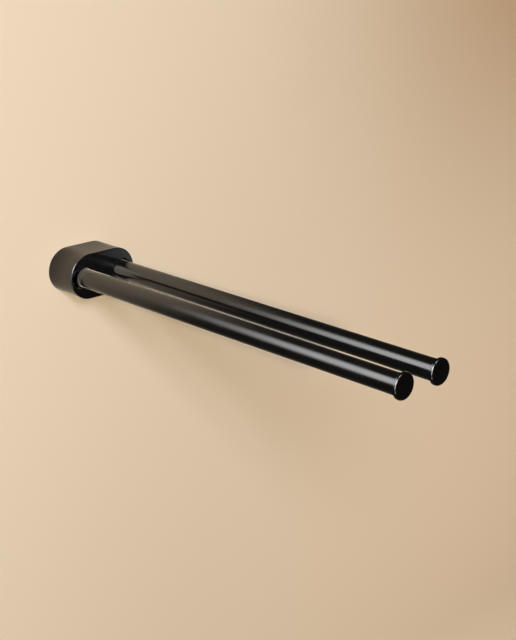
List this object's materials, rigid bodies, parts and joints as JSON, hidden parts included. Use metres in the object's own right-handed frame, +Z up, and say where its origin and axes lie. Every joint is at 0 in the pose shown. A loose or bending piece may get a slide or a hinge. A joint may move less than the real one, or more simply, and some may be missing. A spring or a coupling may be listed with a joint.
{
  "type": "swing arm towel bar",
  "caption": "Wall-mounted towel bar with two parallel round arms that swing outwards from an obround housing, each arm ending in a flanged cap.",
  "frame": {"origin": "on the wall, in the middle of the housing's back face", "axes": "+X to the right along the wall as a person facing it sees it, +Y into the wall, +Z up; the arms reach along -Y at rest"},
  "size_m": [0.078, 0.445, 0.046],
  "materials": {
    "black_coating": "satin black coating",
    "zinc_steel": "zinc plated sheet steel",
    "fastener_steel": "black oxide",
    "cast_zinc": "blackened casting",
    "turned_brass": "turned, blackened",
    "glide_plastic": "black acetal",
    "seal_rubber": "matt"
  },
  "bodies": {
    "wall_housing": {"housing_shell": "black_coating", "wall_plate": "zinc_steel", "fork_screws": "fastener_steel", "shell_set_screw": "fastener_steel", "left_fork": "cast_zinc", "left_pivot_bolt": "fastener_steel", "left_pivot_nut": "fastener_steel", "left_spring_washer": "fastener_steel", "left_upper_washer": "glide_plastic", "left_lower_washer": "glide_plastic", "right_fork": "cast_zinc", "right_pivot_bolt": "fastener_steel", "right_pivot_nut": "fastener_steel", "right_spring_washer": "fastener_steel", "right_upper_washer": "glide_plastic", "right_lower_washer": "glide_plastic"},
    "left_arm": {"left_arm_tube": "black_coating", "left_arm_root": "turned_brass", "left_pivot_bush": "glide_plastic", "left_end_cap": "black_coating", "left_cap_ring": "seal_rubber"},
    "right_arm": {"right_arm_tube": "black_coating", "right_arm_root": "turned_brass", "right_pivot_bush": "glide_plastic", "right_end_cap": "black_coating", "right_cap_ring": "seal_rubber"}
  },
  "joints": [
    {"name": "left_arm_swing", "type": "hinge", "parent": "wall_housing", "child": "left_arm", "pos_m": [-0.0225, -0.0305, 0], "axis": [0, 0, -1], "range_deg": [0, 25]},
    {"name": "right_arm_swing", "type": "hinge", "parent": "wall_housing", "child": "right_arm", "pos_m": [0.0225, -0.0305, 0], "axis": [0, 0, 1], "range_deg": [0, 25]}
  ]
}
